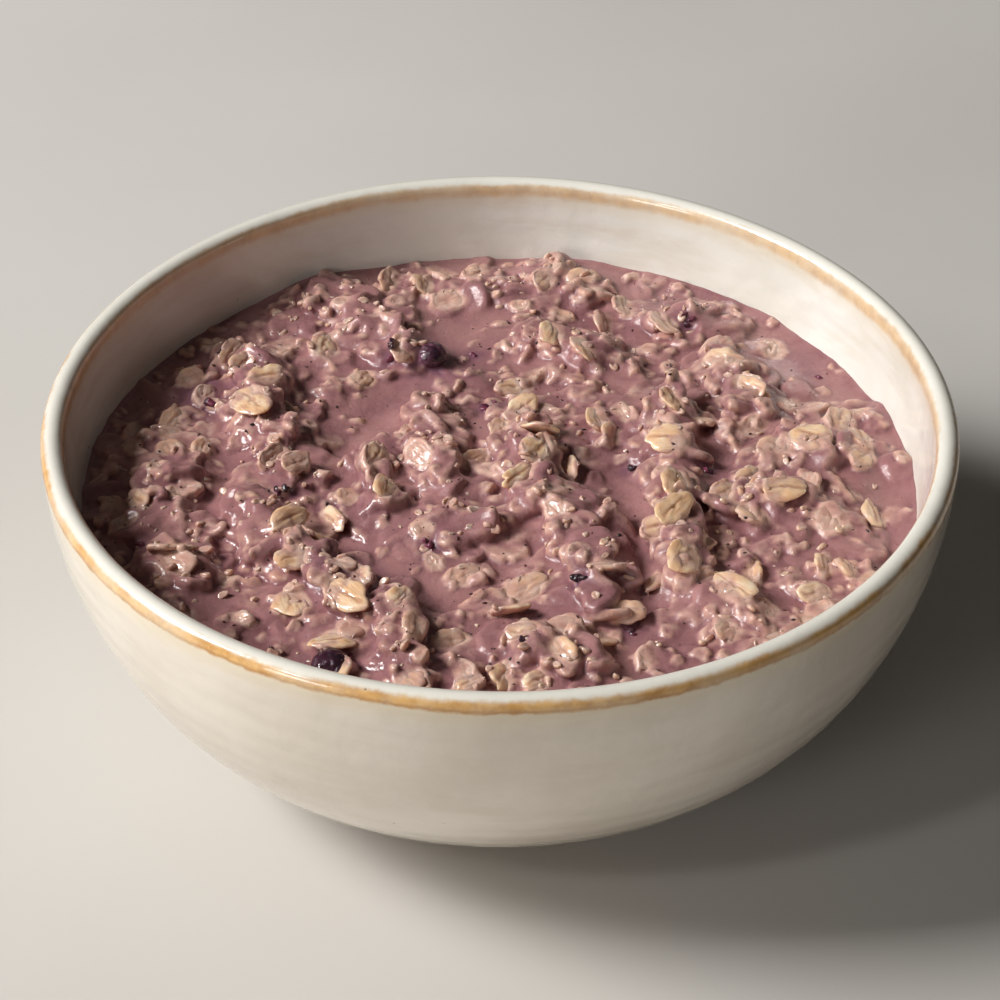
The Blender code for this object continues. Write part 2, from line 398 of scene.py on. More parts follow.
def make_bowl():
    """The thrown bowl: faint throwing rings, a slightly uneven lip and beads where the glaze breaks."""
    section = bowl_section()
    segments = 360
    points, faces = turned_mesh(section, segments)
    steps = np.vstack(((0.0, 0.0), np.diff(section, axis=0)))
    length = np.cumsum(np.hypot(steps[:, 0], steps[:, 1]))
    top = int(np.argmax(section[:, 1]))
    from_lip = length - length[top]
    lip_distance = np.append(np.repeat(from_lip[1:-1], segments), (from_lip[0], from_lip[-1]))

    radius = np.hypot(points[:, 0], points[:, 1])
    angle = np.arctan2(points[:, 1], points[:, 0])
    height = points[:, 2]
    lift = smoothstep(6.0, BOWL_HEIGHT, height)
    around = np.stack((np.cos(angle), np.sin(angle)), axis=-1)
    outward = np.sign(lip_distance)
    wander = value_noise(around * 60.0, 34.0, 3)
    ring_phase = lip_distance + 1.2 * wander
    rings = 0.03 * np.sin(ring_phase * 1.15) + 0.015 * np.sin(ring_phase * 2.3 + 1.0)
    rings *= smoothstep(6.0, 12.0, np.abs(lip_distance)) * smoothstep(3.0, 12.0, height)
    beads = np.zeros_like(height)
    for place, tall in ((1.7, 0.06), (3.7, 0.07), (-1.8, 0.06), (-4.4, 0.05)):
        line = place + 0.3 * value_noise(around * 60.0, 11.0, 5) + 0.12 * value_noise(around * 60.0, 3.0, 6)
        beads += tall * np.exp(-(((lip_distance - line) / 0.32) ** 2))
    orange_peel = 0.03 * value_noise(points, 2.6, 7) * smoothstep(1.0, 4.0, np.abs(lip_distance))
    push = outward * (rings + beads + orange_peel) * smoothstep(0.5, 3.0, height)
    push += lift * (0.30 * np.cos(2 * angle + 0.6) + 0.18 * np.cos(3 * angle + 2.0))
    safe = np.maximum(radius, 1e-6)
    points[:, 0] += push * points[:, 0] / safe
    points[:, 1] += push * points[:, 1] / safe
    points[:, 2] += lift * (0.22 * np.cos(angle - 1.0) + 0.14 * np.cos(3 * angle + 0.5))

    bowl = mesh_object("bowl_glazed", points, faces)
    store(bowl, "lip_distance", lip_distance)
    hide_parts("bowl")
    return bowl


# ---------------------------------------------------------------- porridge as a volume

def segment_distance(x, y, x0, y0, x1, y1):
    """Distance of places from a line between two ends."""
    run = np.array((x1 - x0, y1 - y0), dtype=float)
    share = ((x - x0) * run[0] + (y - y0) * run[1]) / max(run @ run, 1e-9)
    share = np.clip(share, 0.0, 1.0)
    return np.hypot(x - x0 - share * run[0], y - y0 - share * run[1])


def channel_depth(x, y):
    """1 in the middle of a smooth channel of milk, 0 away from it."""
    deep = np.zeros(np.shape(x))
    for x0, y0, x1, y1, half_width in CHANNELS:
        deep = np.maximum(deep, np.exp(-((segment_distance(x, y, x0, y0, x1, y1) / half_width) ** 2)))
    return deep


def milk_height(x, y):
    """Height of the thick milk between the flakes: heaped under the ridges and climbing at the wall."""
    ridges = np.zeros(np.shape(x))
    for x0, y0, x1, y1, half_width, height, _ in RIDGES:
        distance = segment_distance(x, y, x0, y0, x1, y1)
        ridges += (height * np.exp(-((distance / half_width) ** 2))) ** 4
    places = np.stack((x, y), axis=-1)
    swell = 0.55 * value_noise(places, 24.0, 11) + 0.30 * value_noise(places, 9.0, 12)
    dimples = 0.10 * value_noise(places, 3.2, 13) + 0.035 * value_noise(places, 1.3, 14)
    from_wall = FILL_RADIUS - np.hypot(x, y)
    climb = 0.8 * np.exp(-np.maximum(from_wall, 0.0) / 0.9)
    return FILL_LEVEL - 0.5 + 0.84 * ridges**0.25 - 0.7 * channel_depth(x, y) + swell + dimples + climb


def turn(heading, pitch, roll):
    """Axes of a flake, as the columns (along, across, up): turned about Z, then nose up, then rolled."""
    spin = Matrix.Rotation(math.radians(heading), 3, "Z")
    nose = Matrix.Rotation(math.radians(pitch), 3, "Y")
    lean = Matrix.Rotation(math.radians(roll), 3, "X")
    return np.array(spin @ nose @ lean)


def tumble(rng, pitch, roll):
    """Axes of a flake turned any way round and tipped at random, by angles spread as given."""
    return turn(rng.uniform(0, 360), rng.normal(0, pitch), rng.normal(0, roll))


class Volume:
    """Distance to the surface of the porridge, sampled on a grid, with how near the closest flake is."""

    def __init__(self):
        self.low = np.array((-FIELD_REACH, -FIELD_REACH, FIELD_LOW))
        self.x = np.arange(-FIELD_REACH, FIELD_REACH, VOXEL)
        self.z = np.arange(FIELD_LOW, FIELD_HIGH, VOXEL)
        flat_x, flat_y = np.meshgrid(self.x, self.x, indexing="ij")
        milk = milk_height(flat_x, flat_y)
        slope_x, slope_y = np.gradient(milk, VOXEL)
        steep = np.sqrt(1.0 + slope_x**2 + slope_y**2)
        above = self.z[None, None, :] - milk[..., None]
        self.distance = (above / steep[..., None]).astype(np.float32)
        self.oat = np.full(self.distance.shape, 9.0, dtype=np.float32)
        self.tone = np.zeros(self.distance.shape, dtype=np.float32)

    def window(self, centre, reach):
        """The part of the grid around a place, and its points from that place."""
        first = np.maximum(np.floor((centre - reach - self.low) / VOXEL).astype(int), 0)
        last = np.ceil((centre + reach - self.low) / VOXEL).astype(int) + 1
        last = np.minimum(last, self.distance.shape)
        part = tuple(slice(a, b) for a, b in zip(first, last))
        axes = (self.x[part[0]] - centre[0], self.x[part[1]] - centre[1], self.z[part[2]] - centre[2])
        return part, np.stack(np.meshgrid(*axes, indexing="ij"), axis=-1)

    def melt(self, part, distance, softness):
        """Join a shape to the porridge with a fillet between them."""
        here = self.distance[part]
        blend = np.maximum(softness - np.abs(here - distance), 0.0) / softness
        self.distance[part] = np.minimum(here, distance) - blend * blend * softness * 0.25

    def note_oat(self, part, near, tone):
        """Keep how near a flake is, and its tone, where it is the nearest so far."""
        closer = near < self.oat[part]
        self.oat[part][closer] = near[closer]
        self.tone[part][closer] = tone

    def add_flake(self, flake, coat, softness):
        """Melt a flake under a coat of milk into the porridge."""
        part, points = self.window(flake["centre"], flake["reach"] + coat + softness + 0.6)
        bare = flake_distance(flake, points)
        self.melt(part, bare - coat, softness)
        self.note_oat(part, bare + flake["cover"], flake["tone"])

    def drape(self, flake, bare, seed):
        """Milk round a clear flake: a bed under it and a film over its edges, less so when it is bare."""
        part, points = self.window(flake["centre"], flake["reach"] + 2.0)
        local = points @ flake["axes"]
        a, b = flake["half"]
        share = np.hypot(local[..., 0] / a, local[..., 1] / b)
        lap = share + 0.55 * value_noise(local, 2.6, seed) + 0.25 * value_noise(local, 1.1, seed + 1)
        film = smoothstep(0.25 + 0.75 * bare, 0.80 + 0.65 * bare, lap)
        coat = -0.50 + 0.62 * film
        distance = flake_distance(flake, points)
        self.melt(part, distance - coat, 1.0)
        self.note_oat(part, distance + 0.1, flake["tone"])

    def add_ball(self, centre, radius, coat, softness):
        """Melt milk round a berry: a coat over it, or a fillet at its foot when the coat is negative."""
        part, points = self.window(centre, radius + abs(coat) + softness + 0.6)
        self.melt(part, np.linalg.norm(points, axis=-1) - radius - coat, softness)

    def sample(self, field, points):
        """A field of the volume read between its grid points."""
        place = (points - self.low) / VOXEL
        place = np.clip(place, 0.0, np.array(field.shape) - 1.001)
        cell = place.astype(int)
        part = place - cell
        total = np.zeros(len(points))
        for corner in range(8):
            step = np.array([(corner >> axis) & 1 for axis in range(3)])
            weight = np.prod(np.where(step, part, 1.0 - part), axis=-1)
            total += weight * field[tuple((cell + step).T)]
        return total

    def top(self, x, y):
        """Height of the surface at places, looking from above."""
        i = np.clip(np.round((np.asarray(x) + FIELD_REACH) / VOXEL).astype(int), 0, len(self.x) - 1)
        j = np.clip(np.round((np.asarray(y) + FIELD_REACH) / VOXEL).astype(int), 0, len(self.x) - 1)
        inside = self.distance[i, j] < 0
        k = inside.shape[-1] - 1 - np.argmax(inside[..., ::-1], axis=-1)
        return self.z[k] + VOXEL * 0.5


def make_flake(rng, centre, axes, length, width, cover, tone):
    """One flake's place, size, uneven outline, curl and crease."""
    return {
        "centre": np.array(centre, dtype=float),
        "axes": axes,
        "half": (length / 2.0, width / 2.0),
        "reach": length / 2.0 + 0.9,
        "phase": rng.uniform(0.0, 2 * math.pi, 4),
        "wave": rng.uniform(0.4, 1.0, 4) * (0.05, 0.06, 0.05, 0.035),
        "notch": rng.uniform(0.0, 2 * math.pi, 3),
        "deep": rng.uniform(0.0, 0.26, 3) * (rng.random(3) < 0.55),
        "curl": rng.uniform(-0.45, 0.4),
        "twist": rng.uniform(-0.5, 0.5),
        "cover": cover,
        "tone": tone,
    }


def flake_outline(flake, angle):
    """Reach of a flake's edge at an angle, about 1, with waves and a few splits."""
    outline = np.ones(np.shape(angle))
    for turns, amount, phase in zip((2, 3, 5, 8), flake["wave"], flake["phase"]):
        outline += amount * np.cos(turns * angle + phase)
    for place, deep in zip(flake["notch"], flake["deep"]):
        away = np.angle(np.exp(1j * (angle - place)))
        outline -= deep * np.exp(-((away / 0.16) ** 2))
    return outline


def flake_bend(flake, u, v):
    """How far the middle sheet of a flake stands off its plane."""
    a, b = flake["half"]
    return flake["curl"] * (u / a) ** 2 * 0.8 + flake["twist"] * (u / a) * (v / b) * 0.8


def flake_distance(flake, points):
    """Rough distance from a flake, at points measured from its centre."""
    local = points @ flake["axes"]
    u, v = local[..., 0], local[..., 1]
    w = local[..., 2] - flake_bend(flake, u, v)
    a, b = flake["half"]
    share = np.hypot(u / a, v / b) / flake_outline(flake, np.arctan2(v / b, u / a))
    across = (share - 1.0) * (0.5 * (a + b)) + 0.45
    crease = 0.22 * np.exp(-((v / 0.55) ** 2)) * (w > 0)
    thick = np.abs(w) - 0.12 + crease
    return np.hypot(np.maximum(across, 0.0), np.maximum(thick, 0.0)) - 0.45


def surface_nets(values):
    """Points, in grid steps, and four-sided faces of the zero level of a sampled volume."""
    below = values < 0
    size = np.array(values.shape) - 1
    offsets = [np.array(((c >> 0) & 1, (c >> 1) & 1, (c >> 2) & 1)) for c in range(8)]
    shifted = [tuple(slice(o, o + n) for o, n in zip(offset, size)) for offset in offsets]
    count = sum(below[s].astype(np.int8) for s in shifted)
    mixed = (count > 0) & (count < 8)
    number = np.full(mixed.shape, -1, dtype=np.int64)
    number[mixed] = np.arange(mixed.sum())
    cells = np.argwhere(mixed)
    corner_values = [values[s][mixed] for s in shifted]
    total = np.zeros(cells.shape)
    crossings = np.zeros(len(cells))
    for first in range(8):
        for axis in range(3):
            second = first | (1 << axis)
            if second == first:
                continue
            start, end = corner_values[first], corner_values[second]
            crossed = (start < 0) != (end < 0)
            share = start[crossed] / (start[crossed] - end[crossed])
            step = offsets[second] - offsets[first]
            total[crossed] += offsets[first] + share[:, None] * step
            crossings[crossed] += 1
    points = cells + total / crossings[:, None]
    faces = []
    for axis in range(3):
        u, v = (axis + 1) % 3, (axis + 2) % 3
        low = [slice(1, -1)] * 3
        low[axis] = slice(0, -1)
        high = list(low)
        high[axis] = slice(1, None)
        start, end = below[tuple(low)], below[tuple(high)]
        for solid_first in (True, False):
            place = np.argwhere((start == solid_first) & (end != solid_first))
            place[:, u] += 1
            place[:, v] += 1
            back_u = np.eye(3, dtype=int)[u]
            back_v = np.eye(3, dtype=int)[v]
            ring = [place - back_u - back_v, place - back_v, place, place - back_u]
            if not solid_first:
                ring.reverse()
            faces.append(np.stack([number[tuple(corner.T)] for corner in ring], axis=-1))
    return points, np.concatenate(faces)


# ---------------------------------------------------------------- porridge, flakes and bits

def scatter_disc(rng, count, radius, crowd=0.0):
    """Places spread over a disc, kept out of the smooth channels. Crowd draws them in from the wall."""
    places = []
    while len(places) < count:
        distance = radius * math.sqrt(rng.random()) * (1.0 - crowd * rng.random())
        angle = rng.uniform(0.0, 2 * math.pi)
        x, y = distance * math.cos(angle), distance * math.sin(angle)
        if rng.random() > channel_depth(np.array(x), np.array(y)) * 1.05:
            places.append((x, y))
    return places


def ridge_places(rng, per_flake, spread):
    """Places along the stirred ridges, each with the height that the flakes there are heaped to."""
    for x0, y0, x1, y1, half_width, height, count in RIDGES:
        for _ in range(round(per_flake * count)):
            share = rng.random()
            off_x, off_y = rng.normal(0.0, half_width * spread, 2)
            heap = height * math.exp(-((off_x**2 + off_y**2) / (2.2 * half_width**2)))
            yield x0 + share * (x1 - x0) + off_x, y0 + share * (y1 - y0) + off_y, heap


def clearness(x, y):
    """How clear of milk the oats lie: clearest at the front right, coated at the back and the left."""
    return 0.25 + 0.75 * float(smoothstep(-55.0, 35.0, x - y))


def milk_at(x, y):
    """Height of the milk at one place."""
    return float(milk_height(np.array([x]), np.array([y]))[0])


def fill_volume():
    """The milk with all its coated and sunken flakes melted in."""
    rng = np.random.default_rng(20)
    volume = Volume()
    for x, y, heap in ridge_places(rng, 1.0, 0.42):
        if math.hypot(x, y) > FILL_RADIUS - 2.5:
            continue
        length = rng.uniform(4.2, 8.0)
        centre = (x, y, milk_at(x, y) + rng.uniform(-0.8, 0.3) + 0.40 * heap * rng.random())
        axes = tumble(rng, 15, 27)
        width = length * rng.uniform(0.6, 0.85)
        flake = make_flake(rng, centre, axes, length, width, rng.uniform(0.1, 0.75), rng.random())
        volume.add_flake(flake, rng.uniform(0.25, 0.6), rng.uniform(0.9, 1.8))
    for x, y in scatter_disc(rng, COATED_FLAKES, 73.0):
        length = rng.uniform(4.0, 8.0)
        centre = (x, y, milk_at(x, y) + rng.uniform(-0.75, -0.05))
        axes = tumble(rng, 8, 13)
        width = length * rng.uniform(0.6, 0.88)
        flake = make_flake(rng, centre, axes, length, width, rng.uniform(0.15, 0.8), rng.random())
        volume.add_flake(flake, rng.uniform(0.15, 0.35), rng.uniform(0.8, 1.4))
    for x, y in scatter_disc(rng, SUNK_CRUMBS, 73.5):
        length = rng.uniform(1.2, 3.4)
        centre = (x, y, float(volume.top(x, y)) + rng.uniform(-0.5, 0.1))
        axes = tumble(rng, 20, 30)
        crumb = make_flake(rng, centre, axes, length, length * rng.uniform(0.5, 0.9), 0.3, rng.random())
        volume.add_flake(crumb, rng.uniform(0.08, 0.25), 0.7)
    for name in BERRIES:
        middle, half = node_box(name)
        coat = 0.35 if name == "berry_left" else -0.3
        volume.add_ball(middle, float(half[2]), coat, 0.8)
    return volume


def set_flakes(volume):
    """The clear flakes: those listed and strays between them, set into the top of the porridge."""
    rng = np.random.default_rng(31)
    chosen = [(*row[:6], rng.normal(0, 6), row[6]) for row in FLAKES]
    for x, y in scatter_disc(rng, STRAY_FLAKES, 70.5):
        if min(math.hypot(x - row[0], y - row[1]) for row in FLAKES) < 4.5:
            continue
        length = rng.uniform(3.6, 7.6)
        width = length * rng.uniform(0.55, 0.8)
        heading = rng.uniform(0, 360)
        roll = min(max(rng.normal(0, 20), -30.0), 30.0)
        pitch = rng.normal(0, 8)
        chosen.append((x, y, length, width, heading, roll, pitch, rng.uniform(0.1, 0.75) * clearness(x, y)))
    flakes = []
    for x, y, length, width, heading, roll, pitch, bare in chosen:
        lean = abs(math.sin(math.radians(roll))) * width / 2
        lean += abs(math.sin(math.radians(pitch))) * length / 3
        around = np.linspace(0.0, 2 * math.pi, 8, endpoint=False)
        ring = volume.top(x + 0.35 * width * np.cos(around), y + 0.35 * width * np.sin(around))
        ground = float(np.percentile(ring, 40 + 40 * bare))
        centre = (x, y, ground + max(lean - 1.3, -0.05) + 0.35 * bare - 0.30)
        flake = make_flake(rng, centre, turn(heading, pitch, roll), length, width, 0.35, rng.random())
        flake["bare"] = bare
        flakes.append(flake)
    for number, flake in enumerate(flakes):
        volume.drape(flake, flake["bare"], 300 + number)
    return flakes


def keep_largest(points, faces):
    """Only the largest connected part of a mesh."""
    label = np.arange(len(points))
    pairs = np.concatenate([faces[:, [0, 1]], faces[:, [1, 2]], faces[:, [2, 3]], faces[:, [3, 0]]])
    while True:
        lowest = label.copy()
        np.minimum.at(lowest, pairs[:, 0], label[pairs[:, 1]])
        np.minimum.at(lowest, pairs[:, 1], label[pairs[:, 0]])
        lowest = lowest[lowest]
        lowest = lowest[lowest]
        if np.array_equal(lowest, label):
            break
        label = lowest
    names, counts = np.unique(label[faces[:, 0]], return_counts=True)
    faces = faces[label[faces[:, 0]] == names[np.argmax(counts)]]
    used, faces = np.unique(faces, return_inverse=True)
    return points[used], faces.reshape(-1, 4)


def close_below(item):
    """Close an open top surface with a skirt down the inside of the bowl and a floor."""
    form = bmesh.new()
    form.from_mesh(item.data)
    floor_height = INSIDE[0, 1] - 0.2
    edge = [e for e in form.edges if e.is_boundary]
    for step in range(SKIRT_STEPS):
        made = bmesh.ops.extrude_edge_only(form, edges=edge)["geom"]
        ring = [part for part in made if isinstance(part, bmesh.types.BMVert)]
        edge = [part for part in made if isinstance(part, bmesh.types.BMEdge) and part.is_boundary]
        for vert in ring:
            old = vert.co / MM
            height = old.z - (old.z - floor_height) / (SKIRT_STEPS - step)
            radius = float(inner_radius(height)) + 0.25
            scale = radius / math.hypot(old.x, old.y)
            vert.co = Vector((old.x * scale, old.y * scale, height)) * MM
    bmesh.ops.pointmerge(
        form, verts=list({v for e in edge for v in e.verts}), merge_co=(0.0, 0.0, floor_height * MM)
    )
    bmesh.ops.recalc_face_normals(form, faces=form.faces)
    form.to_mesh(item.data)
    form.free()


def decimate(item, triangles):
    """Thin a mesh to a number of triangles, most where it is flat."""
    now = sum(len(face.vertices) - 2 for face in item.data.polygons)
    thin = item.modifiers.new("Thin", "DECIMATE")
    thin.ratio = min(triangles / now, 1.0)
    graph = bpy.context.evaluated_depsgraph_get()
    mesh = bpy.data.meshes.new_from_object(item.evaluated_get(graph))
    old = item.data
    item.modifiers.clear()
    item.data = mesh
    bpy.data.meshes.remove(old)


def nearest_stain(points):
    """1 beside the berries and their shards, falling to 0 a few millimetres away."""
    stain = np.zeros(len(points))
    spots = [(x, y, 2.2) for x, y, _ in SKIN_BITS]
    for name in BERRIES:
        middle, _ = node_box(name)
        spots.append((middle[0], middle[1], 6.0))
    for x, y, spread in spots:
        away = np.hypot(points[:, 0] - x, points[:, 1] - y)
        stain = np.maximum(stain, np.exp(-((away / spread) ** 2)))
    return stain


def wetness(points):
    """1 at the front left, where milk stands on the flakes, falling to 0 towards the middle."""
    away = segment_distance(points[:, 0], points[:, 1], -60.0, 12.0, -38.0, -50.0)
    return smoothstep(48.0, 10.0, away + 8.0 * value_noise(points, 14.0, 44))


def make_porridge(volume):
    """The mesh of the porridge: its lumpy top down to the floor of the bowl."""
    points, faces = surface_nets(volume.distance)
    points = volume.low + points * VOXEL
    radius = np.hypot(points[:, 0], points[:, 1])
    outside = radius > inner_radius(points[:, 2]) + WALL_BITE
    faces = faces[~np.all(outside[faces], axis=1)]
    points, faces = keep_largest(points, faces)
    porridge = mesh_object("porridge_mass", points, faces.tolist())
    decimate(porridge, SURFACE_TRIANGLES)
    close_below(porridge)
    porridge.data.shade_smooth()

    points = mesh_points(porridge)
    near = volume.sample(volume.oat, points)
    # Bend of the surface, stored as ridge: the material thins the milk on bulges and paints shade into the
    # hollows
    bend = np.zeros_like(volume.distance)
    bend[1:-1, 1:-1, 1:-1] = (
        volume.distance[2:, 1:-1, 1:-1] + volume.distance[:-2, 1:-1, 1:-1]
        + volume.distance[1:-1, 2:, 1:-1] + volume.distance[1:-1, :-2, 1:-1]
        + volume.distance[1:-1, 1:-1, 2:] + volume.distance[1:-1, 1:-1, :-2]
        - 6.0 * volume.distance[1:-1, 1:-1, 1:-1]
    ) / VOXEL**2
    store(porridge, "near_oat", near)
    store(porridge, "oat_tone", volume.sample(volume.tone, points))
    store(porridge, "ridge", np.clip(volume.sample(bend, points), -2.0, 2.0))
    store(porridge, "stain", nearest_stain(points))
    store(porridge, "wet", wetness(points))
    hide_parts("porridge")
    return porridge


def flake_points(flake, rings, segments):
    """Points and faces of one flake about its centre: a creased, uneven leaf with a rounded edge."""
    angle = np.linspace(0.0, 2 * math.pi, segments, endpoint=False)
    outline = flake_outline(flake, angle)
    a, b = flake["half"]
    share = np.concatenate((np.linspace(0.0, 0.78, rings - 3)[1:], (0.88, 0.95, 0.985, 1.0)))
    u = share[:, None] * outline * a * np.cos(angle)
    v = share[:, None] * outline * b * np.sin(angle)
    places = np.stack((u, v), axis=-1)
    seed = int(flake["phase"][0] * 1000)
    edge = np.sqrt(np.clip(1.0 - (np.maximum(share - 0.74, 0.0) / 0.26) ** 2, 0.0, 1.0))[:, None]
    thick = FLAKE_THICKNESS * (1.0 - 0.30 * share[:, None] ** 2) * edge
    thick = thick * (1.0 + 0.22 * value_noise(places, 1.7, seed))
    middle = flake_bend(flake, u, v) + 0.16 * value_noise(places, 1.9, seed + 1) * share[:, None]
    bow = 0.35 * np.sin(flake["phase"][1]) * (u / a) ** 2
    line = v - b * (bow + 0.12 * np.sin(2.5 * u / a + flake["phase"][2]))
    groove = np.exp(-((line / 0.30) ** 2)) * (1.0 - share[:, None] ** 4)
    crease = 0.22 * groove
    rib_phase = line / b * 7.5 + 0.6 * value_noise(places, 3.0, seed + 3)
    ribs = 0.045 * np.cos(rib_phase) * (1.0 - share[:, None] ** 3)
    pits = ribs + 0.06 * value_noise(places * (0.5, 1.6), 0.8, seed + 2) * edge
    top = np.stack((u, v, middle + thick / 2 - crease + pits), axis=-1)
    bottom = np.stack((u, v, middle - thick / 2 - 0.4 * crease), axis=-1)[:-1]
    centre_thick = FLAKE_THICKNESS / 2
    points = np.vstack((
        top.reshape(-1, 3), bottom.reshape(-1, 3), (0, 0, centre_thick - 0.30), (0, 0, -centre_thick - 0.12)
    ))
    count = len(share)
    first_bottom = count * segments
    top_centre, bottom_centre = len(points) - 2, len(points) - 1
    faces = []
    for j in range(segments):
        k = (j + 1) % segments
        faces.append((top_centre, j, k))
        faces.append((bottom_centre, first_bottom + k, first_bottom + j))
        for i in range(count - 1):
            faces.append(ring_face(i * segments, (i + 1) * segments, j, k))
            low = first_bottom + i * segments
            if i < count - 2:
                faces.append((low + j, low + k, low + segments + k, low + segments + j))
            else:
                rim = (count - 1) * segments
                faces.append((low + j, low + k, rim + k, rim + j))
    mark = np.zeros(len(points))
    mark[:groove.size] = groove.ravel()
    mark[top_centre] = 1.0
    return points, faces, mark


def join_parts(parts):
    """Points and faces of several meshes as one, with the number of the part for each point."""
    points, faces, owner, first = [], [], [], 0
    for number, (part_points, part_faces) in enumerate(parts):
        points.append(part_points)
        faces += [tuple(index + first for index in face) for face in part_faces]
        owner.append(np.full(len(part_points), number))
        first += len(part_points)
    return np.vstack(points), faces, np.concatenate(owner)


def oat_piece(name, volume, flakes, shapes):
    """One piece from all the flakes' shapes, storing what their material needs to know."""
    placed = [
        (flake["centre"] + shape[0] @ flake["axes"].T, shape[1]) for flake, shape in zip(flakes, shapes)
    ]
    points, faces, owner = join_parts(placed)
    crumble = np.stack([value_noise(points, 1.3, 45 + axis) for axis in range(3)], axis=-1)
    item = mesh_object(name, points + 0.16 * crumble, faces)
    local = np.vstack([shape[0] for shape in shapes])
    bare = np.array([flake["bare"] for flake in flakes])[owner]
    over = volume.sample(volume.distance, points)
    patches = value_noise(points, 3.0, 41) * 0.30 + value_noise(points, 1.2, 42) * 0.12
    dry = smoothstep(-0.05, 0.45, over + 0.15 * patches)
    store(item, "bare", dry * np.clip(bare + patches * (1.2 - bare), 0.0, 1.0))
    store(item, "crease", np.concatenate([shape[2] for shape in shapes]))
    store(item, "oat_tone", np.array([flake["tone"] for flake in flakes])[owner])
    store(item, "grain", local + owner[:, None] * (3.7, 1.3, 0.0))
    store(item, "stain", nearest_stain(points))
    store(item, "wet", wetness(points))
    return item


def make_flakes(volume, flakes):
    """All the clear flakes as one piece."""
    return oat_piece("oat_flakes", volume, flakes, [flake_points(flake, 9, 26) for flake in flakes])


def make_crumbs(volume):
    """Broken bits of oat, from a grain of rice down, thick on the ridges and strewn over the rest."""
    rng = np.random.default_rng(47)
    places = [(x, y) for x, y, _ in ridge_places(rng, CRUMBS_PER_FLAKE, 0.5)]
    places += scatter_disc(rng, STRAY_CRUMBS, 73.5, crowd=0.06)
    flakes, shapes = [], []
    for x, y in places:
        if math.hypot(x, y) > FILL_RADIUS - 2.0:
            continue
        length = 0.8 + 2.0 * rng.random() ** 2
        centre = (x, y, float(volume.top(x, y)) + rng.uniform(-0.36, -0.04))
        axes = tumble(rng, 22, 32)
        crumb = make_flake(rng, centre, axes, length, length * rng.uniform(0.45, 0.9), 0.3, rng.random())
        crumb["curl"] *= 0.3
        crumb["twist"] *= 0.3
        crumb["bare"] = rng.uniform(0.0, 0.6) * clearness(x, y)
        local, faces, mark = flake_points(crumb, 6, 9)
        local[:, 2] *= 0.35 + 0.22 * length
        flakes.append(crumb)
        shapes.append((local, faces, 0.4 * mark))
    return oat_piece("oat_crumbs", volume, flakes, shapes)


def make_skin_bits(volume):
    """Dark shards of berry skin lying in the porridge."""
    rng = np.random.default_rng(52)
    parts = []
    for x, y, size in SKIN_BITS:
        for _ in range(3):
            px, py = x + rng.normal(0, size * 0.22), y + rng.normal(0, size * 0.22)
            length = size * rng.uniform(0.5, 1.0)
            centre = (px, py, float(volume.top(px, py)) - 0.12)
            axes = tumble(rng, 25, 35)
            flake = make_flake(rng, centre, axes, length, length * rng.uniform(0.35, 0.8), 0.0, 0.0)
            local, faces, _ = flake_points(flake, 5, 14)
            parts.append((flake["centre"] + local @ flake["axes"].T, faces))
    points, faces, _ = join_parts(parts)
    item = mesh_object("skin_bits", points, faces)
    return item


def make_specks(volume):
    """Fine dark specks of bran and seed, half sunk in the milk."""
    rng = np.random.default_rng(63)
    ball, ball_faces = unit_ball(1)
    parts = []
    for _ in range(SPECKS):
        distance = 72.0 * math.sqrt(rng.random())
        angle = rng.uniform(0, 2 * math.pi)
        x, y = distance * math.cos(angle), distance * math.sin(angle)
        size = 0.09 + 0.20 * rng.random() ** 2.5
        stretch = np.array((rng.uniform(1.0, 2.4), rng.uniform(0.7, 1.2), rng.uniform(0.5, 0.9)))
        shape = ball * size * stretch * rng.uniform(0.75, 1.25, ball.shape)
        shape = shape @ turn(rng.uniform(0, 360), 0, 0).T
        parts.append((shape + (x, y, float(volume.top(x, y)) - 0.12), ball_faces))
    points, faces, _ = join_parts(parts)
    item = mesh_object("bran_specks", points, faces)
    return item


def make_berry(node, seed):
    """A cooked berry: a soft ball with puckered skin, a crown and torn folds, sized by its CAD solid."""
    centre, half = node_box(node)
    ball, faces = unit_ball(5)
    rng = np.random.default_rng(seed)
    crown = rng.normal(0, 1, 3)
    crown[2] = abs(crown[2])
    crown /= np.linalg.norm(crown)
    along = np.clip(ball @ crown, -1.0, 1.0)
    side = np.cross(crown, (0.3, 0.2, 0.9))
    side /= np.linalg.norm(side)
    spin = np.arctan2(ball @ np.cross(crown, side), ball @ side)
    away = np.arccos(along)
    star = 0.42 * (1.0 + 0.25 * np.cos(5 * spin))
    rim = 0.07 * np.exp(-(((away - star) / 0.09) ** 2))
    cup = -0.10 * smoothstep(0.42, 0.1, away)
    wide = 0.07 * value_noise(ball, 0.8, seed)
    folds = 0.05 * (1.0 - np.abs(value_noise(ball * (1.0, 1.0, 0.6), 0.34, seed + 1))) ** 3
    grain = 0.012 * value_noise(ball, 0.12, seed + 2)
    reach = 0.97 + rim + cup + wide - folds + grain
    item = mesh_object(node + "_skin", centre + ball * reach[:, None] * half, faces)
    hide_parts(node)
    return item


# ---------------------------------------------------------------- materials

